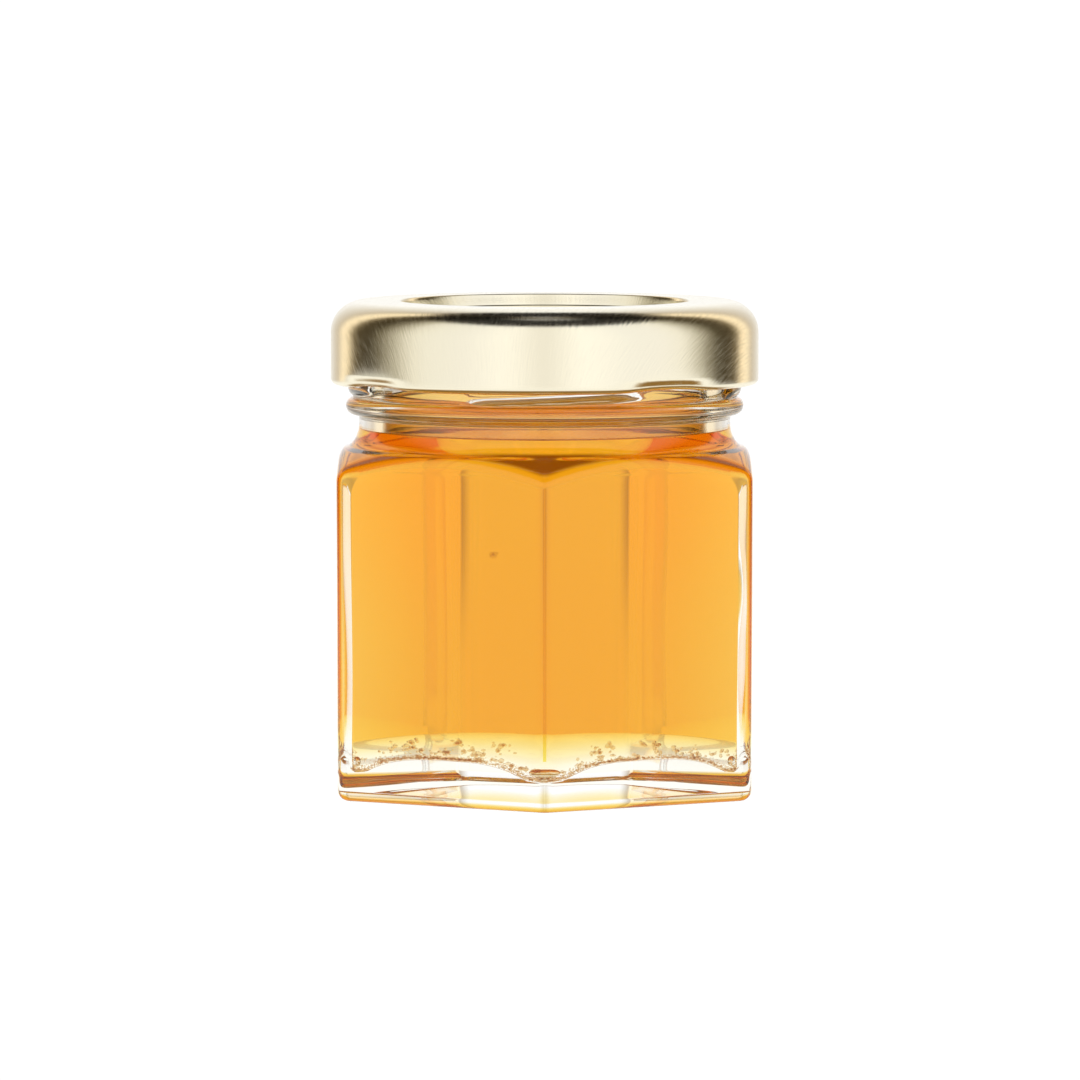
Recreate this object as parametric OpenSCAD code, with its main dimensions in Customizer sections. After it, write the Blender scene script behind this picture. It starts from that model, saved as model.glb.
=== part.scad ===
// Hexagonal honey jar of 45 ml: a clear glass jar, its honey and a gold twist-off lid.
// Millimetres, +Z up. The origin is at the middle of the base and one upright corner points to -Y.

/* [Glass body] */
// Width of the body across two opposite flat faces
body_flats = 44; // [36:0.5:54]
// Height at which the shoulder meets the upright corners
corner_top = 34.65; // [28:0.05:60]
// Slope of the shoulder below level, in degrees
shoulder_slope = 28.6; // [20:0.2:40]
// Radius of the upright corners and of the bottom edges
edge_r = 1.5; // [0.8:0.1:3]
// Thickness of the walls
wall_t = 2; // [1.4:0.1:3]
// Radius of the upright corners inside
inner_corner_r = 0.6; // [0.4:0.1:4]

/* [Glass base] */
// Height of the middle of the domed floor inside
floor_middle = 6.7; // [5:0.1:9]
// Height of the floor where it meets the middle of a wall
floor_wall = 4.9; // [3:0.1:6]
// Height of the floor in the corners
floor_corner = 3.3; // [2.5:0.1:5]
// Depth of the hollow under the base
push_up_h = 1; // [0.3:0.1:2]
// Width of the level rim round the hollow under the base
rim_w = 4; // [2:0.1:8]

/* [Glass neck] */
// How far the neck stands in from the flat faces
neck_in = 1.5; // [0.8:0.1:3]
// How far the waist under the bead stands in from the neck
waist_in = 0.64; // [0.2:0.02:1.2]
// Height of the waist above the top of the upright corners
waist_rise = 4.55; // [3.6:0.05:6]
// Radius of the curve from the waist to the shoulder
waist_curve_r = 2.6; // [1.5:0.1:3.4]
// Thickness of the neck's wall
neck_wall = 3.1; // [2.5:0.1:4]
// Height of the bevels on both sides of the lip
lip_bevel = 1.2; // [0.6:0.1:1.6]
// Radius of the round section of the bead
bead_section_r = 0.9; // [0.6:0.05:1.2]
// How far the bead stands out from the neck
bead_out = 0.75; // [0.3:0.05:1.1]
// Height of the middle of the bead above the waist
bead_rise = 2.1; // [1.6:0.1:3]
// Length of each thread ridge round the neck, in degrees
thread_sweep = 46; // [20:1:70]
// Height of the thread ridges above the middle of the bead
thread_rise = 2.35; // [1.9:0.05:3]
// Turn of the first thread ridge from the front corner, in degrees
thread_turn = 2; // [-40:1:40]

/* [Honey] */
// Depth of the honey's surface below the waist
honey_drop = 1.05; // [0.2:0.05:3]

/* [Lid] */
// How far the lid's skirt stands out from the neck
lid_out = 2.35; // [2.1:0.05:3]
// Height of the lid from its lower edge to its crest
lid_h = 8.9; // [7:0.1:12]
// Height of the lid's lower edge above the middle of the bead
lid_rise = 2.3; // [1.9:0.05:4]
// Thickness of the lid's tinplate
sheet_t = 0.3; // [0.2:0.05:0.5]
// Radius of the lid's outer shoulder
lid_shoulder_r = 3.4; // [2:0.1:4]
// Width of the level crest that presses on the mouth
crest_w = 3.6; // [2:0.1:5]
// Depth of the lid's sunk panel below the crest
panel_drop = 1.3; // [0.6:0.1:2]
// Width of the steep wall from the crest down to the panel
panel_wall_w = 0.6; // [0.4:0.1:2]
// Radius of the rolled hem
hem_r = 0.62; // [0.4:0.02:0.8]
// Number of lugs
lug_count = 4; // [3:1:6]
// Reach of each lug towards the glass
lug_reach = 0.7; // [0.3:0.05:0.8]
// Length of each lug round the hem, in degrees
lug_sweep = 20; // [10:1:30]
// Turn of the first lug from the front corner, in degrees
lug_turn = 36; // [0:1:89]

/* [Hidden] */

$fn = 96;

thread_count = 4;

corner_reach = body_flats / 2 / cos(30);
neck_r = body_flats / 2 - neck_in;
waist_r = neck_r - waist_in;
mouth_r = neck_r - neck_wall;
waist_z = corner_top + waist_rise;
bead_z = waist_z + bead_rise;
honey_z = waist_z - honey_drop;
thread_z = bead_z + thread_rise;

lid_r = neck_r + lid_out;
lid_low = bead_z + lid_rise;
lid_top = lid_low + lid_h;
crest_outer_r = lid_r - lid_shoulder_r;
crest_inner_r = crest_outer_r - crest_w;
panel_z = lid_top - panel_drop;
panel_r = crest_inner_r - panel_wall_w;

glass_top = lid_top - sheet_t;
lip_inner_r = mouth_r + lip_bevel / 2;

lug_lift = 0.3;
thread_section_r = 0.75;
thread_sink = 0.3;

corner_steps = 6;
edge_steps = 4;
arc_steps = 8;

glass = [0.93, 0.96, 0.95, 0.35];
amber = [0.96, 0.66, 0.16];
gold = [0.86, 0.8, 0.6];

// Where a shoulder line at the given radius stands, for a shoulder that passes (reach, height).
function slope_z(r, reach, height) = height + (reach - r) * tan(shoulder_slope);

// Points of an arc about (x, z), from one angle to another.
function arc(x, z, r, from, to, steps) =
    [for (k = [0 : steps]) [x + r * cos(from + (to - from) * k / steps), z + r * sin(from + (to - from) * k / steps)]];

// Outline of a hexagon with round corners, the first of them at -Y.
function round_hexagon(flats, r) =
    let (tip = (flats / 2 - r) / cos(30))
    [for (i = [0 : 5])
        let (turn = 60 * i - 90)
        each arc(tip * cos(turn), tip * sin(turn), r, turn - 30, turn + 30, corner_steps)];

// One level outline of the block, drawn in at the foot by the rounding of its bottom edges.
function block_ring(flats, r, level) =
    let (in = r * (1 - cos(level)), z = r * (1 - sin(level)))
    [for (p = round_hexagon(flats - 2 * in, r)) [p[0], p[1], z]];

// Hexagonal block with round upright corners and round bottom edges.
module round_block(flats, r, height) {
    levels = [for (k = [0 : edge_steps]) 90 - 90 * k / edge_steps];
    rings = concat(
        [for (a = levels) block_ring(flats, r, a)],
        [[for (p = round_hexagon(flats, r)) [p[0], p[1], height]]]
    );
    count = len(rings[0]);
    last = len(rings) - 1;
    polyhedron(
        [for (ring = rings) each ring],
        concat(
            [[for (i = [0 : count - 1]) i]],
            [for (j = [0 : last - 1], i = [0 : count - 1])
                let (n = (i + 1) % count)
                [j * count + i, (j + 1) * count + i, (j + 1) * count + n, j * count + n]],
            [[for (i = [count - 1 : -1 : 0]) last * count + i]]
        )
    );
}

// Upright section of the shoulder, waist and neck, which spins about the axis.
module neck_section(waist, curve_r, reach, height, top_r, bevel, lip_r, top_z) {
    curve_x = waist + curve_r;
    foot_x = curve_x - curve_r * sin(shoulder_slope);
    foot_z = waist_z - curve_r * cos(shoulder_slope);
    far = reach + edge_r;
    difference() {
        polygon([
            [0, 0],
            [far, 0],
            [far, slope_z(far, reach, height)],
            [foot_x, foot_z],
            [curve_x, waist_z],
            [waist, waist_z],
            [waist, bead_z],
            [top_r, bead_z],
            [top_r, top_z - bevel],
            [lip_r, top_z],
            [0, top_z]
        ]);
        translate([curve_x, waist_z]) circle(curve_r);
    }
}

// Raised ridge round the neck, which a lug of the lid runs under.
module thread_ridge() {
    rotate(-90 - thread_sweep / 2)
        rotate_extrude(angle = thread_sweep) translate([neck_r - thread_sink, 0]) circle(thread_section_r);
}

module glass_outside() {
    intersection() {
        round_block(body_flats, edge_r, glass_top);
        rotate_extrude()
            neck_section(
                waist_r, waist_curve_r, corner_reach, corner_top, neck_r, lip_bevel, crest_outer_r, glass_top
            );
    }
    translate([0, 0, bead_z])
        rotate_extrude() translate([neck_r + bead_out - bead_section_r, 0]) circle(bead_section_r);
    for (i = [0 : thread_count - 1])
        translate([0, 0, thread_z]) rotate(thread_turn + 360 / thread_count * i) thread_ridge();
}

// Everything above the floor and inside the walls, up to the mouth.
module cavity() {
    inner_flats = body_flats - 2 * wall_t;
    inner_reach = inner_flats / 2 / cos(30);
    wall_x = inner_flats / 2;
    corner_x = inner_reach - inner_corner_r * (1 / cos(30) - 1);
    curve_r = waist_curve_r + waist_r - mouth_r;
    inner_height = corner_top - wall_t / cos(shoulder_slope) + (corner_reach - inner_reach) * tan(shoulder_slope);
    dome_r = (pow(wall_x, 2) + pow(floor_middle - floor_wall, 2)) / (2 * (floor_middle - floor_wall));
    difference() {
        intersection() {
            linear_extrude(glass_top) polygon(round_hexagon(inner_flats, inner_corner_r));
            rotate_extrude()
                neck_section(
                    mouth_r, curve_r, inner_reach, inner_height, mouth_r, lip_bevel, lip_inner_r, glass_top
                );
        }
        rotate_extrude() {
            intersection() {
                translate([0, floor_middle - dome_r]) circle(dome_r, $fn = 360);
                square([wall_x, floor_middle]);
            }
            polygon([
                [0, -1],
                [inner_reach + 1, -1],
                [inner_reach + 1, floor_corner],
                [corner_x, floor_corner],
                [wall_x, floor_wall],
                [0, floor_wall]
            ]);
        }
    }
}

module push_up() {
    push_up_r = body_flats / 2 - edge_r - rim_w;
    hollow_r = (pow(push_up_r, 2) + pow(push_up_h, 2)) / (2 * push_up_h);
    translate([0, 0, push_up_h - hollow_r]) sphere(hollow_r);
}

// Clear pressed glass with a hexagonal body, a sloping shoulder and a round threaded neck.
module jar() {
    color(glass) difference() {
        glass_outside();
        cavity();
        push_up();
    }
}

// Honey up to the foot of the neck.
module honey() {
    color(amber) intersection() {
        cavity();
        cylinder(r = corner_reach, h = honey_z);
    }
}

// Upright section of the lid's sheet, from the middle of the panel out and down round the rolled hem.
module lid_section() {
    shoulder_z = lid_top - lid_shoulder_r;
    hem_x = lid_r - hem_r;
    hem_z = lid_low + hem_r;
    under = panel_z - sheet_t;
    polygon(concat(
        [[0, panel_z], [panel_r, panel_z], [crest_inner_r, lid_top]],
        arc(crest_outer_r, shoulder_z, lid_shoulder_r, 90, 0, arc_steps),
        arc(hem_x, hem_z, hem_r, 0, -180, arc_steps),
        arc(hem_x, hem_z, hem_r, 180, 60, arc_steps),
        arc(crest_outer_r, shoulder_z, lid_shoulder_r - sheet_t, 0, 90, arc_steps),
        [[crest_inner_r + sheet_t / 2, glass_top], [panel_r + sheet_t / 2, under], [0, under]]
    ));
}

// Lug pressed out of the hem towards the glass.
module lug() {
    rotate(-90 - lug_sweep / 2)
        rotate_extrude(angle = lug_sweep)
            translate([lid_r - 2 * hem_r - lug_reach, lid_low + lug_lift])
                square([lug_reach + hem_r, hem_r]);
}

// Gold-lacquered tinplate, drawn to a cap with a sunk panel, a rolled hem and lugs.
module lid() {
    color(gold) {
        rotate_extrude() lid_section();
        for (i = [0 : lug_count - 1]) rotate(lug_turn + 360 / lug_count * i) lug();
    }
}

jar();
honey();
lid();
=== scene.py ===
import random
from math import atan2, cos, exp, pi, radians, sin, sqrt, tan

import bmesh
import bpy
from mathutils import Matrix, Vector, noise


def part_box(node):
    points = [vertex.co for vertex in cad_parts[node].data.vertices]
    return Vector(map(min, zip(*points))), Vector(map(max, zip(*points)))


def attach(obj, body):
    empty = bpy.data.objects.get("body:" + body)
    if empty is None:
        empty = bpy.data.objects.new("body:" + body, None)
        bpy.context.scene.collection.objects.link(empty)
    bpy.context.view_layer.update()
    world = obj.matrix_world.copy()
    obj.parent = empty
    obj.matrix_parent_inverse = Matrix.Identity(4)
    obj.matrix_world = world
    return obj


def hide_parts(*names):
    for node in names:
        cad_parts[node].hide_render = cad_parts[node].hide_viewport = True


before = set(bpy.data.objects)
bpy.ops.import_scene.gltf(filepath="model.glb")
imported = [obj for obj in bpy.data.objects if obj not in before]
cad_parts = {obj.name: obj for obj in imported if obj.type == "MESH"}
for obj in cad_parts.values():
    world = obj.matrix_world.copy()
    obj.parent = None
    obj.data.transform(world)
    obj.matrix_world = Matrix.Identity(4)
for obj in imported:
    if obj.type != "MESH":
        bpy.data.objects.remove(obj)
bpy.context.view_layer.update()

MM = 0.001

# ---------------------------------------------------------------------------------------------
# The glass jar. Soda-lime glass blown in a two-part iron mould: a hexagonal body with soft
# corners, a heavy domed base, a sloping shoulder and a round threaded neck. The mould makes the
# outside true, and the air that blows it leaves the inside slightly wavy.

_, jar_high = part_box("jar")
_, honey_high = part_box("honey")
lid_low, lid_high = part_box("lid")

half_flats = jar_high.x / MM
inner_half = honey_high.x / MM - 0.15
honey_level = honey_high.z / MM
lip_top = jar_high.z / MM

draft = 0.1              # the body is this much narrower at its foot
corner = 1.5             # upright corners, outside
foot_round = 1.2         # bottom edges
inner_corner = 0.35      # upright corners, inside
corner_reach = half_flats / cos(pi / 6)
shoulder_start = 32.6
shoulder_top = 34.95     # where the shoulder would meet a sharp upright corner
shoulder_slope = radians(28.6)
shoulder_soft, inner_shoulder_soft = 2.2, 2.6
outer_ripple, inner_ripple = 0.03, 0.22
waist, waist_z = 19.86, 39.2
waist_curve = 2.6
neck = 20.5
lip_bevel = 1.2
rim_corner = 0.5         # corners of the level rim under the base
bead_z, bead_section, bead_centre = 41.3, 0.9, 20.35
bead_fillet = 0.25
thread_turn, thread_half, thread_soft = radians(2), radians(23), radians(1.2)
thread_rise, thread_climb = 2.2, 0.9
thread_out, thread_half_height = 0.55, 1.05
mouth = 17.4
wall = half_flats - inner_half
push_up, push_up_height = 16.5, 1.0
foot_level = 8           # the wall is traced here for the edge of the floor
hole = 0.4               # a small rim about the axis, drawn together last
sectors, per_sector = 6, 34


def hexagon(turn, half, round_off):
    """Distance from the axis to a hexagon with round corners, one of them towards -Y."""
    off = abs((turn + pi / 2 + pi / 6) % (pi / 3) - pi / 6)
    tip = (half - round_off) / cos(pi / 6)
    reach = atan2(round_off * sin(pi / 6), tip + round_off * cos(pi / 6))
    if off > reach:
        return half / cos(pi / 6 - off)
    return tip * cos(off) + sqrt(round_off ** 2 - (tip * sin(off)) ** 2)


def soft_min(a, b, soft):
    """The smaller of two sizes, with a round change from one to the other."""
    h = max(soft - abs(a - b), 0) / soft
    return min(a, b) - h * h * soft / 4


def start_rim(bm, place):
    """A ring of points about the axis, closest together at the corners of the hexagon."""
    bmesh.ops.create_circle(bm, segments=sectors * per_sector, radius=1)
    for v in bm.verts:
        turn = atan2(v.co.y, v.co.x)
        off = (turn + pi / 2 + pi / 6) % (pi / 3) - pi / 6
        share = abs(off) / (pi / 6)
        turn += -off + (1 if off > 0 else -1) * pi / 6 * share * share
        r, z = place(turn)
        v.co = (r * cos(turn), r * sin(turn), z)
    return list(bm.edges)


def draw_on(bm, rim, place, slot=0):
    """Extrudes an open rim by one ring, whose points place sets by their direction from the axis."""
    new = bmesh.ops.extrude_edge_only(bm, edges=rim)["geom"]
    for v in (g for g in new if isinstance(g, bmesh.types.BMVert)):
        turn = atan2(v.co.y, v.co.x)
        r, z = place(turn)
        v.co = (r * cos(turn), r * sin(turn), z)
    rim = [g for g in new if isinstance(g, bmesh.types.BMEdge) and g.is_boundary]
    for edge in rim:
        edge.link_faces[0].material_index = slot
    return rim


def close_pole(bm, rim):
    """Gathers a small rim into one point on the axis."""
    points = list({v for e in rim for v in e.verts})
    middle = Vector((0, 0, sum(v.co.z for v in points) / len(points)))
    bmesh.ops.pointmerge(bm, verts=points, merge_co=middle)


def still_open(rim):
    """The edges of a first rim that have not been closed since."""
    return [e for e in rim if e.is_valid and e.is_boundary]


def finished(bm, name, materials):
    """Makes the mesh a piece of the model, in metres, with smooth faces that point outwards."""
    bmesh.ops.recalc_face_normals(bm, faces=bm.faces)
    bmesh.ops.scale(bm, vec=(MM, MM, MM), verts=bm.verts)
    mesh = bpy.data.meshes.new(name)
    bm.to_mesh(mesh)
    bm.free()
    for face in mesh.polygons:
        face.use_smooth = True
    for material in materials:
        mesh.materials.append(material)
    piece = bpy.data.objects.new(name, mesh)
    bpy.context.scene.collection.objects.link(piece)
    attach(piece, "root")
    return piece


def shoulder(z, waist_r, curve, reach, height):
    """Radius of the round shoulder and waist at a height, for the outside or the inside."""
    foot_z = waist_z - curve * cos(shoulder_slope)
    if z < foot_z:
        return reach + (height - z) / tan(shoulder_slope)
    if z < waist_z:
        return waist_r + curve - sqrt(max(curve ** 2 - (waist_z - z) ** 2, 0))
    return waist_r


def ripple(turn, z, size, seed):
    """The slight waviness that blowing leaves, never more than size either way."""
    spot = Vector((cos(turn) * 1.7, sin(turn) * 1.7, z / 14 + seed))
    return size * noise.noise(spot)


def thread(turn, z):
    """How far the four thread ridges stand out of the neck."""
    off = (turn + pi / 2 - thread_turn + pi / 4) % (pi / 2) - pi / 4
    climb = bead_z + thread_rise + off * thread_climb
    along = 1 / (1 + exp((abs(off) - thread_half) / thread_soft))
    across = max(1 - ((z - climb) / thread_half_height) ** 2, 0)
    return thread_out * along * sqrt(across)


def outside(turn, z):
    """Radius of the glass outside, from the foot to the lip."""
    body = hexagon(turn, half_flats - outer_ripple - draft * max(1 - z / shoulder_start, 0), corner)
    body += ripple(turn, z, outer_ripple, 0)
    flare = shoulder(z, waist, waist_curve, corner_reach, shoulder_top)
    r = soft_min(body, flare, shoulder_soft)
    if z > waist_z:
        rise = min(max((z - waist_z - 0.9) / 0.8, 0), 1)
        r = waist + (neck - waist) * rise * rise * (3 - 2 * rise)
        up = z - bead_z
        if abs(up) < bead_section:
            r = -soft_min(-r, -(bead_centre + sqrt(bead_section ** 2 - up ** 2)), bead_fillet)
        r += thread(turn, z)
    return r


inner_reach = inner_half / cos(pi / 6)
inner_top = shoulder_top - wall / cos(shoulder_slope) + (corner_reach - inner_reach) * tan(shoulder_slope)
dome_middle, dome_fall = 6.7, 1.8
dip, dip_start, dip_width = 1.2, 19.6, 2.4


def floor_height(r):
    """Height of the domed floor at a distance from the axis; it dips into the corners."""
    into_corner = min(max((r - dip_start) / dip_width, 0), 1)
    return dome_middle - dome_fall * (r / inner_half) ** 2 - dip * into_corner ** 2


def inside(turn, z, into):
    """Radius of the inner wall, or of a surface that lies a little way into the glass."""
    body = hexagon(turn, inner_half, inner_corner + 3 * max(sin(turn), 0) ** 8)
    body += ripple(turn, z, inner_ripple, 5)
    thin_spot = exp(-((z - 22) / 3) ** 2 - ((turn + radians(24)) / radians(8)) ** 2)
    body += 0.2 * thin_spot
    flare = shoulder(z, mouth, waist_curve + waist - mouth, inner_reach, inner_top)
    return soft_min(body, flare, inner_shoulder_soft) + into


floor_round = 0.5        # between the floor and the wall
wall_top = 30            # above this the rings lie closer together, to follow the shoulder


def cavity_steps(into, top):
    """Rings of the cavity from the middle of its floor to a height, each as a rule for its points."""
    def on_floor(share):
        def place(turn):
            wide = inside(turn, foot_level, into) - floor_round
            r = share * ((1 - share) * inner_half + share * wide)
            return r, floor_height(r) - into
        return place

    def on_curve(angle):
        def place(turn):
            wide = inside(turn, foot_level, into) - floor_round * (1 - sin(angle))
            return wide, floor_height(wide) - into + floor_round * (1 - cos(angle))
        return place

    def on_wall(share):
        def place(turn):
            low = floor_height(inside(turn, foot_level, into)) - into + floor_round
            z = low + (wall_top - low) * share
            blend = min(share / 0.15, 1)
            return inside(turn, foot_level + (z - foot_level) * blend, into), z
        return place

    def level(z):
        return lambda turn: (inside(turn, z, into), z)

    steps = [on_floor(0.03 + 0.97 * k / 26) for k in range(27)]
    steps += [on_curve(pi / 2 * k / 8) for k in range(1, 9)]
    steps += [on_wall(k / 26) for k in range(1, 27)]
    z = wall_top
    while z < top - 0.3:
        z += 0.25
        steps.append(level(z))
    steps.append(level(top))
    return steps


meniscus = 0.5
wet_line = honey_level + meniscus

curve_foot = 37.1
thread_end = 46
glass_mesh = bmesh.new()
rim = start_rim(glass_mesh, lambda turn: (hole, push_up_height))
first_rim = list(rim)
for k in range(1, 15):
    share = k / 14
    rim = draw_on(glass_mesh, rim, lambda turn: (push_up * share, push_up_height * (1 - share ** 2) ** 1.5))
rim = draw_on(glass_mesh, rim, lambda turn: (hexagon(turn, half_flats - draft - foot_round, rim_corner), 0))
for k in range(1, 8):
    angle = pi / 2 * k / 7
    inset = foot_round * (1 - sin(angle))
    up = foot_round * (1 - cos(angle))
    rim = draw_on(
        glass_mesh, rim, lambda turn: (hexagon(turn, half_flats - draft - inset, corner - inset * 0.8), up))
heights = [foot_round + (shoulder_start - foot_round) * k / 22 for k in range(1, 23)]
heights += [shoulder_start + (curve_foot - shoulder_start) * k / 32 for k in range(1, 33)]
heights += [curve_foot + (bead_z - bead_section - curve_foot) * k / 14 for k in range(1, 15)]
heights += [bead_z - bead_section * cos(pi * k / 14) for k in range(1, 14)]
heights += [bead_z + bead_section + (thread_end - bead_z - bead_section) * k / 20 for k in range(0, 21)]
heights += [47, 49, lip_top - lip_bevel]
for z in heights:
    rim = draw_on(glass_mesh, rim, lambda turn: (outside(turn, z), z))
lip = [(20.1, 0.5), (19.4, 0), (18.3, 0), (17.7, 0.4), (mouth, lip_bevel)]
for r, below in lip:
    z = lip_top - below
    rim = draw_on(glass_mesh, rim, lambda turn: (r, z))
for z in (48, 46, 44, 42.5, 41, 40.2, 39.8, 39.4, 39.0, wet_line):
    rim = draw_on(glass_mesh, rim, lambda turn: (inside(turn, z, 0), z))
for place in reversed(cavity_steps(0, wet_line)[:-1]):
    rim = draw_on(glass_mesh, rim, place, slot=1)
close_pole(glass_mesh, rim)
close_pole(glass_mesh, still_open(first_rim))


def shader(name, kind):
    """A new material whose surface is one shader; gives the material, its tree and the shader."""
    material = bpy.data.materials.new(name)
    material.use_nodes = True
    tree = material.node_tree
    tree.nodes.clear()
    out = tree.nodes.new("ShaderNodeOutputMaterial")
    node = tree.nodes.new(kind)
    tree.links.new(node.outputs[0], out.inputs["Surface"])
    return material, tree, node


def clear_stuff(name, colour, ior, roughness=0):
    """A material that light passes through, of one colour and one strength of bending."""
    material, _, surface = shader(name, "ShaderNodeBsdfPrincipled")
    surface.inputs["Base Color"].default_value = colour + (1,)
    surface.inputs["Transmission Weight"].default_value = 1
    surface.inputs["Roughness"].default_value = roughness
    surface.inputs["IOR"].default_value = ior
    return material


glass_ior, honey_ior = 1.52, 1.49
clear_glass = clear_stuff("clear_glass", (0.985, 0.995, 0.99), glass_ior)
wetted_glass = shader("wetted_glass", "ShaderNodeBsdfTransparent")[0]
seam_glass = clear_stuff("seam_glass", (0.84, 0.7, 0.05), glass_ior)

# The mould's seam runs down the front corner as a fine line.
seam_half, seam_front, seam_foot, seam_top = 0.17, -24.5, 5.5, 34
for face in glass_mesh.faces:
    middle = face.calc_center_median()
    if abs(middle.x) < seam_half and middle.y < seam_front and seam_foot < middle.z < seam_top:
        face.material_index = 2
jar = finished(glass_mesh, "jar_glass", [clear_glass, wetted_glass, seam_glass])
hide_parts("jar")

# ---------------------------------------------------------------------------------------------
# The honey. Clear, runny, pale honey poured to the foot of the neck. It wets the glass, so its
# skin reaches just into the wall and leaves no air gap, and it climbs a little at the edge.

into_wall = 0.12
floor_rings = 30         # the first rings, which lie on the glass floor
honey_mesh = bmesh.new()
steps = cavity_steps(into_wall, wet_line)
rim = start_rim(honey_mesh, steps[0])
first_rim = list(rim)
for k, place in enumerate(steps[1:]):
    rim = draw_on(honey_mesh, rim, place, slot=2 if k < floor_rings else 0)
top_edge = mouth + into_wall
for back in (0.15, 0.35, 0.6, 0.9, 1.3, 1.8, 2.5, 3.5, 5, 7, 9.5, 12, 14.5, 16.8):
    r = top_edge - back
    z = honey_level + meniscus * exp(-max(back - into_wall, 0) / 0.8)
    rim = draw_on(honey_mesh, rim, lambda turn: (r, z), slot=1)
close_pole(honey_mesh, rim)
close_pole(honey_mesh, still_open(first_rim))

# Its skin bends light by what it touches: the wall, the floor, or the air above.
honey_stuff, tree, _ = shader("honey", "ShaderNodeMixShader")
nodes, links = tree.nodes, tree.links
outer_mix = next(n for n in nodes if n.type == "MIX_SHADER")
inner_mix = nodes.new("ShaderNodeMixShader")
touches = nodes.new("ShaderNodeVertexColor")
touches.layer_name = "touches"
parts = nodes.new("ShaderNodeSeparateColor")
links.new(touches.outputs["Color"], parts.inputs[0])
links.new(parts.outputs["Red"], outer_mix.inputs[0])
links.new(parts.outputs["Green"], inner_mix.inputs[0])
skins = []
for ior in (honey_ior / glass_ior, 0.997, honey_ior):
    skin = nodes.new("ShaderNodeBsdfGlass")
    skin.inputs["Color"].default_value = (1, 1, 1, 1)
    skin.inputs["Roughness"].default_value = 0
    skin.inputs["IOR"].default_value = ior
    skins.append(skin)
links.new(skins[0].outputs[0], inner_mix.inputs[1])
links.new(skins[1].outputs[0], inner_mix.inputs[2])
links.new(inner_mix.outputs[0], outer_mix.inputs[1])
links.new(skins[2].outputs[0], outer_mix.inputs[2])
soak = nodes.new("ShaderNodeVolumeAbsorption")
soak.inputs["Color"].default_value = (0.975, 0.79, 0.0, 1)
soak.inputs["Density"].default_value = 108
out = next(n for n in nodes if n.type == "OUTPUT_MATERIAL")
links.new(soak.outputs[0], out.inputs["Volume"])

honey = finished(honey_mesh, "honey_fill", [honey_stuff])
colours = honey.data.color_attributes.new("touches", "FLOAT_COLOR", "CORNER")
for face in honey.data.polygons:
    mark = ((0, 0, 0, 1), (1, 0, 0, 1), (0, 1, 0, 1))[face.material_index]
    for corner_index in face.loop_indices:
        colours.data[corner_index].color = mark
    face.material_index = 0
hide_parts("honey")

# ---------------------------------------------------------------------------------------------
# The film in the neck. Honey that washed up the wall when the jar was tipped and dried there, thin
# and brown, so it tints what is seen through the neck.

film_mesh = bmesh.new()
film_foot = honey_level + 0.35


def film_ring(share, back):
    """A rule for the points of the film, from its foot to its wandering upper edge."""
    def place(turn):
        top = 42.1 - 0.4 * sin(turn) + 0.5 * abs(cos(turn))
        top += 0.4 * noise.noise(Vector((3 * cos(turn), 3 * sin(turn), 2)))
        return mouth - back, film_foot + (top - film_foot) * share
    return place


film_outer, film_inner = 0.05, 0.13
rim = start_rim(film_mesh, film_ring(0, film_outer))
first_rim = list(rim)
for k in range(1, 15):
    rim = draw_on(film_mesh, rim, film_ring(k / 14, film_outer))
for k in range(14, -1, -1):
    rim = draw_on(film_mesh, rim, film_ring(k / 14, film_inner))
bmesh.ops.bridge_loops(film_mesh, edges=rim + first_rim)

dried = clear_stuff("dried_honey", (0.93, 0.6, 0.15), 1.25, roughness=0.03)
film = finished(film_mesh, "honey_film", [dried])

# ---------------------------------------------------------------------------------------------
# The crystals. Fine tan sugar crystals that settled along the foot of the wall, with looser
# clumps stuck to the glass just above and a line of specks round the honey's edge in the neck.

chance = random.Random(11)


def crystal(at, size, round_off=1):
    """The place, turn and stretch of one small lump, longer sideways than it is tall."""
    along, across, tall = chance.uniform(0.8, 1.6), chance.uniform(0.6, 1.0), chance.uniform(0.5, 1.0)
    stretch = Matrix.Diagonal((along, across, tall, 1))
    spin = Matrix.Rotation(atan2(at[0], -at[1]), 4, "Z")
    return Matrix.Translation(at) @ spin @ stretch, size, round_off


def heap(lumps):
    """One mesh of many lumps, laid down a hundred at a time so that it stays quick."""
    whole = bmesh.new()
    for first in range(0, len(lumps), 100):
        few = bmesh.new()
        for matrix, size, round_off in lumps[first:first + 100]:
            bmesh.ops.create_icosphere(few, subdivisions=round_off, radius=size / 2, matrix=matrix)
        part = bpy.data.meshes.new("part")
        few.to_mesh(part)
        few.free()
        whole.from_mesh(part)
        bpy.data.meshes.remove(part)
    return whole


def by_wall(turn, z, back):
    """A spot in the honey, a little way back from the inner wall."""
    r = inside(turn, z, -back)
    return r * cos(turn), r * sin(turn), z


grains = []
for k in range(7000):
    turn = -pi / 2 + chance.uniform(-1, 1) * pi * 0.62
    if noise.noise(Vector((turn * 5, 0.3, 1))) + 0.85 < chance.random():
        continue
    back = abs(chance.gauss(0, 0.35)) + 0.05
    foot = floor_height(inside(turn, foot_level, -back))
    at = by_wall(turn, foot + 0.06 + abs(chance.gauss(0, 0.12)), back)
    grains.append(crystal(at, chance.uniform(0.08, 0.22)))
for k in range(64):
    turn = -pi / 2 + chance.uniform(-1, 1) * pi / 3
    middle = floor_height(inside(turn, foot_level, -0.3)) + 0.4 + abs(chance.gauss(0, 0.9))
    for grain in range(chance.randint(2, 9)):
        spot = turn + chance.gauss(0, 0.014)
        at = by_wall(spot, middle + chance.gauss(0, 0.17), chance.uniform(0.15, 0.4))
        grains.append(crystal(at, chance.uniform(0.15, 0.6)))
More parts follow.
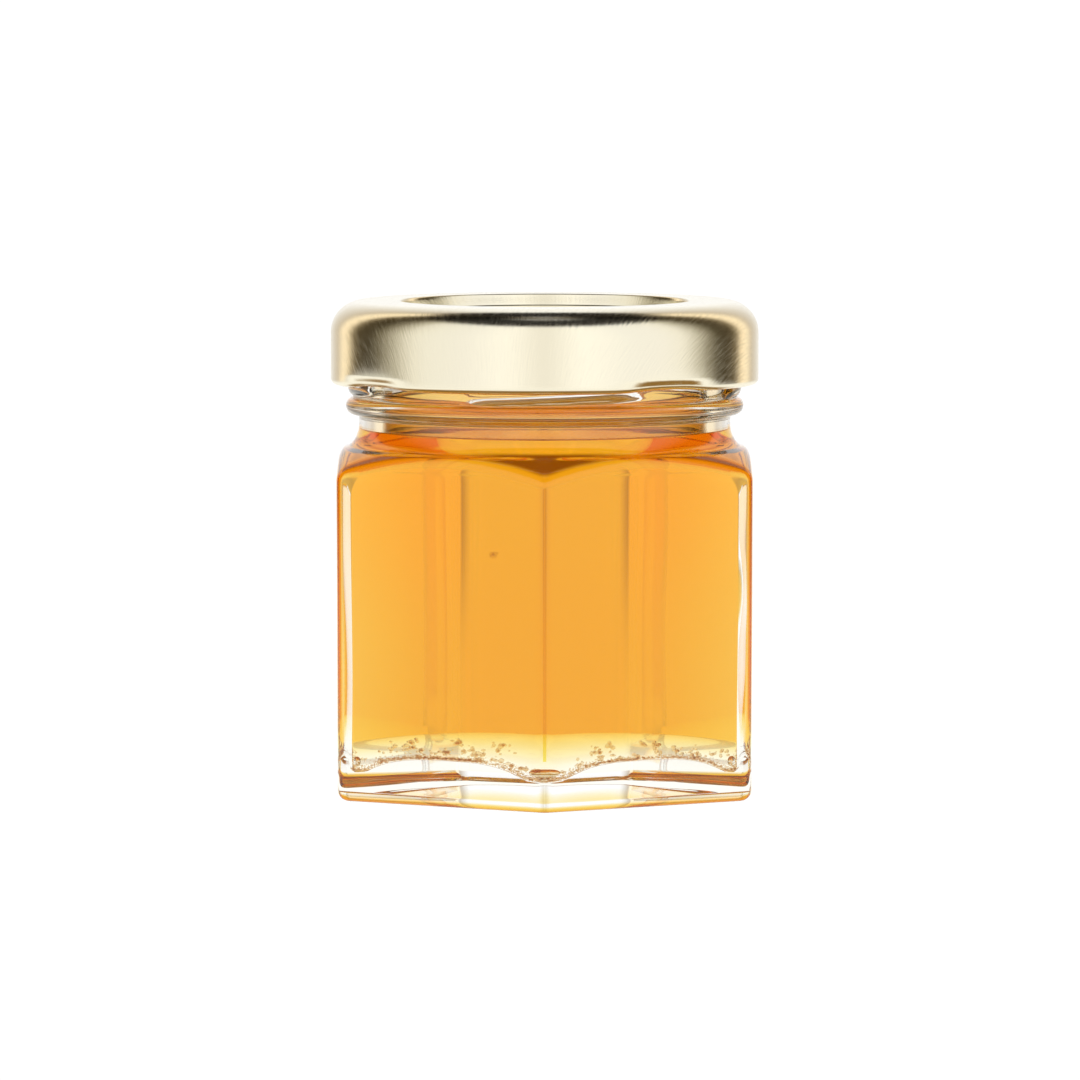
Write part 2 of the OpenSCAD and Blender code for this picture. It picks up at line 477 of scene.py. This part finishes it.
for k in range(300):
    turn = -pi / 2 + chance.uniform(-1, 1) * pi / 2
    z = honey_level + 0.2 + abs(chance.gauss(0, 0.25))
    r = mouth - 0.2
    grains.append(crystal((r * cos(turn), r * sin(turn), z), chance.uniform(0.05, 0.16)))

sugar = clear_stuff("sugar_crystals", (0.86, 0.73, 0.56), 1.01)
crystals = finished(heap(grains), "crystals", [sugar])

# ---------------------------------------------------------------------------------------------
# The bubbles. Air caught in the bottom corners: a long flat bubble in the front corner and a
# small round one in the corner on either side.

bubble_mesh = bmesh.new()
caught = [(-90, 4.1, (1.3, 0.45, 0.42)), (-150, 4.25, (0.5, 0.4, 0.5)), (-30, 4.25, (0.55, 0.4, 0.55))]
for turn, up, size in caught:
    at = Matrix.Translation(by_wall(radians(turn), up, 0.55))
    spin = Matrix.Rotation(radians(turn + 90), 4, "Z")
    stretch = Matrix.Diagonal(size + (1,))
    bmesh.ops.create_icosphere(bubble_mesh, subdivisions=4, radius=1, matrix=at @ spin @ stretch)
air, _, surface = shader("bubble_air", "ShaderNodeBsdfGlass")
surface.inputs["Color"].default_value = (1, 1, 1, 1)
surface.inputs["Roughness"].default_value = 0
surface.inputs["IOR"].default_value = 1 / honey_ior
bubbles = finished(bubble_mesh, "bubbles", [air])

# ---------------------------------------------------------------------------------------------
# The specks. A flake of wax on the front wall and a few tiny dark bits of the comb.

wax_turn, wax_height = atan2(-20.2, -5), 26.8
flakes = []
for side, up in ((-0.18, 0.05), (0.2, 0.12), (0, -0.16)):
    x, y, z = by_wall(wax_turn, wax_height + up, 0.3)
    flakes.append(crystal((x + side, y, z), 0.55, 2))
for k in range(30):
    turn = -pi / 2 + chance.uniform(-1, 1) * pi / 3
    at = by_wall(turn, chance.uniform(9, 34), chance.uniform(0.2, 1.5))
    flakes.append(crystal(at, chance.uniform(0.07, 0.16)))
wax = clear_stuff("wax_and_comb", (0.86, 0.8, 0.1), 1.01)
specks = finished(heap(flakes), "specks", [wax])

# ---------------------------------------------------------------------------------------------
# The lid. Tinplate brushed in the flat, lacquered gold and then drawn to a cap: a sunk panel, a
# round shoulder, a straight skirt and a rolled hem, with four lugs pressed in to catch the thread.

lid_r = lid_high.x / MM
lid_foot = lid_low.z / MM
lid_crest = lid_high.z / MM
sheet = 0.3
shoulder_r = 3.4
hem = 0.62
panel_drop = 1.3
panel_z = lid_crest - panel_drop
crest_x = lid_r - shoulder_r
lug_turn, lug_half, lug_soft = radians(36), radians(10), radians(2.2)
lug_press, lug_lift, skirt_press = 0.6, 0.3, 0.22


def lug(turn):
    """1 in the middle of a lug and 0 away from it."""
    off = (turn + pi / 2 - lug_turn + pi / 4) % (pi / 2) - pi / 4
    return 1 / (1 + exp((abs(off) - lug_half) / lug_soft))


def hem_point(angle, pull):
    """A rule for the points of the rolled hem at an angle of its round section."""
    def place(turn):
        press = lug(turn) * pull
        r = lid_r - hem + hem * cos(angle) - lug_press * press
        return r, lid_foot + hem + hem * sin(angle) + lug_lift * press
    return place


# The panel and its steep wall, as radius and height above the panel.
panel = [
    (6, 0), (11, 0), (15.1, 0), (15.24, 0.03), (15.3, 0.12), (15.32, 0.3), (15.34, 0.6), (15.36, 0.9),
    (15.38, 1.14), (15.43, 1.24), (15.53, 1.285), (15.75, panel_drop - 0.003), (17, panel_drop),
]
lid_mesh = bmesh.new()
rim = start_rim(lid_mesh, lambda turn: (hole, panel_z))
first_rim = list(rim)
for r, up in panel:
    rim = draw_on(lid_mesh, rim, lambda turn: (r, panel_z + up))
for k in range(0, 17):
    angle = pi / 2 * (1 - k / 16)
    r, z = crest_x + shoulder_r * cos(angle), lid_crest - shoulder_r * (1 - sin(angle))
    rim = draw_on(lid_mesh, rim, lambda turn: (r, z))
skirt_top, skirt_foot = lid_crest - shoulder_r, lid_foot + hem
for k in range(1, 11):
    share = k / 11
    z = skirt_top + (skirt_foot - skirt_top) * share
    rim = draw_on(lid_mesh, rim, lambda turn: (lid_r - skirt_press * lug(turn) * share ** 5, z))
for k in range(0, 13):
    rim = draw_on(lid_mesh, rim, hem_point(-pi * k / 12, 1))
for k in range(1, 7):
    rim = draw_on(lid_mesh, rim, hem_point(pi - (pi - radians(60)) * k / 6, 1 - k / 6))
rim = draw_on(lid_mesh, rim, lambda turn: (lid_r - sheet, skirt_top))
for k in range(1, 9):
    angle = pi / 2 * k / 8
    bend = shoulder_r - sheet
    r, z = crest_x + bend * cos(angle), skirt_top + bend * sin(angle)
    rim = draw_on(lid_mesh, rim, lambda turn: (r, z))
for r, outer_z in ((18.3, lid_crest), (15.8, lid_crest), (15.6, panel_z), (8, panel_z), (hole, panel_z)):
    rim = draw_on(lid_mesh, rim, lambda turn: (r, outer_z - sheet))
close_pole(lid_mesh, rim)
close_pole(lid_mesh, still_open(first_rim))

gold, tree, surface = shader("brushed_gold_lacquer", "ShaderNodeBsdfPrincipled")
surface.inputs["Metallic"].default_value = 1
surface.inputs["Base Color"].default_value = (0.93, 0.885, 0.745, 1)
nodes, links = tree.nodes, tree.links


def work_out(tree, operation, first, second=0.0):
    """One math node, fed by sockets or plain numbers; gives its output."""
    node = tree.nodes.new("ShaderNodeMath")
    node.operation = operation
    for into, value in zip(node.inputs, (first, second)):
        if isinstance(value, (int, float)):
            into.default_value = value
        else:
            tree.links.new(value, into)
    return node.outputs[0]


# The brushing runs straight across the flat sheet, so down the skirt it follows the drawn metal.
spot = nodes.new("ShaderNodeTexCoord")
axes = nodes.new("ShaderNodeSeparateXYZ")
links.new(spot.outputs["Object"], axes.inputs[0])
below_crest = work_out(tree, "SUBTRACT", lid_crest * MM, axes.outputs["Z"])
spread = work_out(tree, "ADD", work_out(tree, "DIVIDE", below_crest, lid_r * MM), 1.0)
flat = nodes.new("ShaderNodeCombineXYZ")
links.new(work_out(tree, "MULTIPLY", axes.outputs["X"], spread), flat.inputs["X"])
links.new(work_out(tree, "MULTIPLY", axes.outputs["Y"], spread), flat.inputs["Y"])
turned = nodes.new("ShaderNodeMapping")
turned.inputs["Rotation"].default_value = (0, 0, radians(14))
links.new(flat.outputs[0], turned.inputs["Vector"])
strokes = nodes.new("ShaderNodeMapping")
strokes.inputs["Scale"].default_value = (4200, 520, 1)
links.new(turned.outputs[0], strokes.inputs["Vector"])
grain = nodes.new("ShaderNodeTexNoise")
grain.inputs["Scale"].default_value = 1
grain.inputs["Detail"].default_value = 3
links.new(strokes.outputs[0], grain.inputs["Vector"])
relief = nodes.new("ShaderNodeBump")
relief.inputs["Strength"].default_value = 0.25
relief.inputs["Distance"].default_value = 0.00005
links.new(grain.outputs["Fac"], relief.inputs["Height"])
links.new(relief.outputs[0], surface.inputs["Normal"])
polish = nodes.new("ShaderNodeMapRange")
polish.inputs["From Min"].default_value = 0.3
polish.inputs["From Max"].default_value = 0.7
polish.inputs["To Min"].default_value = 0.13
polish.inputs["To Max"].default_value = 0.23
links.new(grain.outputs["Fac"], polish.inputs["Value"])
links.new(polish.outputs[0], surface.inputs["Roughness"])

lid = finished(lid_mesh, "lid_cap", [gold])
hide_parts("lid")

# ---------------------------------------------------------------------------------------------
# The floor, a pale sheet lit from below that fades into the white of the studio; its glow holds a painted
# shadow and a painted reflection.

floor_mesh = bmesh.new()
bmesh.ops.create_circle(floor_mesh, cap_ends=True, segments=96, radius=0.6)
mesh = bpy.data.meshes.new("floor")
floor_mesh.to_mesh(mesh)
floor_mesh.free()
floor = bpy.data.objects.new("floor", mesh)
bpy.context.scene.collection.objects.link(floor)


def set_stops(ramp, stops):
    """Gives a colour ramp its stops, each a place from 0 to 1 and a colour."""
    elements = ramp.color_ramp.elements
    elements.remove(elements[1])
    for k, (at, colour) in enumerate(stops):
        stop = elements[0] if k == 0 else elements.new(at)
        stop.position = at
        stop.color = colour + (1,)


pale, tree, _ = shader("pale_floor", "ShaderNodeMixShader")
nodes, links = tree.nodes, tree.links
mix = next(n for n in nodes if n.type == "MIX_SHADER")
glow = nodes.new("ShaderNodeEmission")
away = nodes.new("ShaderNodeBsdfTransparent")
links.new(glow.outputs[0], mix.inputs[1])
links.new(away.outputs[0], mix.inputs[2])
place = nodes.new("ShaderNodeTexCoord")
length = nodes.new("ShaderNodeVectorMath")
length.operation = "LENGTH"
links.new(place.outputs["Object"], length.inputs[0])
fade = nodes.new("ShaderNodeMapRange")
fade.interpolation_type = "SMOOTHSTEP"
fade.inputs["From Min"].default_value = 0.1
fade.inputs["From Max"].default_value = 0.5
links.new(length.outputs["Value"], fade.inputs["Value"])
links.new(fade.outputs[0], mix.inputs[0])
# To every ray but the camera's the glow holds a painted shadow of the jar: dim amber under it, a pale painted
# caustic ring at its foot and a dark orange ring further out, fading to white. Seen flatly it holds a painted
# white reflection of the studio instead.
shade_edge = 0.12
# Painted shadow and caustic, by distance from the jar's axis.
painted_shadow_ramp = nodes.new("ShaderNodeValToRGB")
links.new(work_out(tree, "DIVIDE", length.outputs["Value"], shade_edge), painted_shadow_ramp.inputs[0])
set_stops(painted_shadow_ramp, [
    (0.0, (0.45, 0.34, 0.06)), (0.14, (0.45, 0.34, 0.06)), (0.165, (0.86, 0.79, 0.62)),
    (0.2, (0.74, 0.63, 0.42)), (0.24, (0.27, 0.15, 0.04)), (0.55, (0.27, 0.15, 0.04)),
    (0.75, (0.7, 0.6, 0.45)), (1.0, (1.0, 0.98, 0.92)),
])
slant = nodes.new("ShaderNodeLayerWeight")
slant.inputs["Blend"].default_value = 0.5
flatly = nodes.new("ShaderNodeMapRange")
flatly.interpolation_type = "SMOOTHSTEP"
flatly.inputs["From Min"].default_value = 0.42
flatly.inputs["From Max"].default_value = 0.56
links.new(slant.outputs["Facing"], flatly.inputs["Value"])
# Painted reflection: seen flatly the floor's glow turns warm white in place of the painted shadow.
painted_reflection_blend = nodes.new("ShaderNodeMix")
painted_reflection_blend.data_type = "RGBA"
painted_reflection_blend.inputs[7].default_value = (1.0, 0.98, 0.91, 1)
links.new(flatly.outputs[0], painted_reflection_blend.inputs[0])
links.new(painted_shadow_ramp.outputs[0], painted_reflection_blend.inputs[6])
path = nodes.new("ShaderNodeLightPath")
seen = nodes.new("ShaderNodeMix")
seen.data_type = "RGBA"
links.new(path.outputs["Is Camera Ray"], seen.inputs[0])
links.new(painted_reflection_blend.outputs[2], seen.inputs[6])
seen.inputs[7].default_value = (1, 1, 1, 1)
links.new(seen.outputs[2], glow.inputs["Color"])
glow.inputs["Strength"].default_value = 1.05
mesh.materials.append(pale)

# ---------------------------------------------------------------------------------------------
# The studio. White all round, with darker gaps between the front and back lights and a darker
# ceiling, so that glass and metal have edges to show.

world = bpy.data.worlds.new("studio")
bpy.context.scene.world = world
world.use_nodes = True
tree = world.node_tree
nodes, links = tree.nodes, tree.links
nodes.clear()
out = nodes.new("ShaderNodeOutputWorld")
back = nodes.new("ShaderNodeBackground")
links.new(back.outputs[0], out.inputs["Surface"])
view = nodes.new("ShaderNodeTexCoord")
axes = nodes.new("ShaderNodeSeparateXYZ")
links.new(view.outputs["Generated"], axes.inputs[0])

# 0 is behind the jar on the left, 0.5 the front and 1 behind it on the right. The list below goes
# the same way round, in degrees from the front.
frontward = work_out(tree, "MULTIPLY", axes.outputs["Y"], -1.0)
angle = work_out(tree, "ARCTAN2", axes.outputs["X"], frontward)
round_share = work_out(tree, "ADD", work_out(tree, "DIVIDE", angle, 2 * pi), 0.5)
ring = nodes.new("ShaderNodeValToRGB")
links.new(round_share, ring.inputs[0])
brightest = 2.0
brightness = [
    (-180, (1.05, 1.05, 1.05)), (-175, (1.05, 1.05, 1.05)), (-160, (0.8, 0.75, 0.68)),
    (-147, (0.62, 0.53, 0.42)), (-140, (1.15, 0.98, 0.7)), (-132, (1.15, 0.95, 0.66)),
    (-127, (0.2, 0.15, 0.08)), (-120, (0.06, 0.042, 0.018)), (-107, (0.05, 0.037, 0.017)),
    (-98, (0.2, 0.17, 0.11)), (-88, (0.5, 0.46, 0.36)), (-77, (0.9, 0.86, 0.75)), (-66, (0.96, 0.94, 0.86)),
    (-45, (0.98, 0.96, 0.91)), (-20, (1.12, 1.1, 1.04)), (0, (0.9, 0.87, 0.79)), (20, (1.14, 1.12, 1.06)),
    (48, (1.0, 0.99, 0.95)), (66, (1.0, 0.98, 0.94)), (80, (0.98, 0.95, 0.86)), (90, (0.62, 0.58, 0.48)),
    (99, (0.25, 0.22, 0.15)), (107, (0.06, 0.045, 0.02)), (120, (0.06, 0.042, 0.018)),
    (127, (0.2, 0.15, 0.08)), (132, (1.15, 0.95, 0.66)), (140, (1.15, 0.98, 0.7)),
    (147, (0.62, 0.53, 0.42)), (160, (0.8, 0.75, 0.68)), (175, (1.05, 1.05, 1.05)), (180, (1.05, 1.05, 1.05)),
]
set_stops(ring, [(turn / 360 + 0.5, tuple(c / brightest for c in value)) for turn, value in brightness])
# The ceiling is dark but for a small lamp straight overhead.
height = nodes.new("ShaderNodeValToRGB")
links.new(axes.outputs["Z"], height.inputs[0])
set_stops(height, [
    (0.785, (1, 1, 1)), (0.85, (0.02, 0.017, 0.013)), (0.98, (0.02, 0.02, 0.02)), (0.992, (0.3, 0.3, 0.3))])
both = nodes.new("ShaderNodeMix")
both.data_type = "RGBA"
both.blend_type = "MULTIPLY"
both.inputs[0].default_value = 1
links.new(ring.outputs[0], both.inputs[6])
links.new(height.outputs[0], both.inputs[7])
links.new(both.outputs[2], back.inputs["Color"])
back.inputs["Strength"].default_value = brightest

scene = bpy.context.scene
scene.view_settings.view_transform = "Standard"
scene.cycles.max_bounces = 32
scene.cycles.transmission_bounces = 32
scene.cycles.transparent_max_bounces = 32
scene.cycles.glossy_bounces = 8

# ---------------------------------------------------------------------------------------------
# The camera, a long lens a little above the lid.

lens = bpy.data.cameras.new("camera")
lens.sensor_width = 36
lens.lens = 281.2
lens.shift_x = -0.0043
lens.clip_end = 50
camera = bpy.data.objects.new("camera", lens)
camera.location = (0, -0.9, 0.094)
camera.rotation_euler = (radians(90 - 4.27), 0, 0)
scene.collection.objects.link(camera)
scene.camera = camera
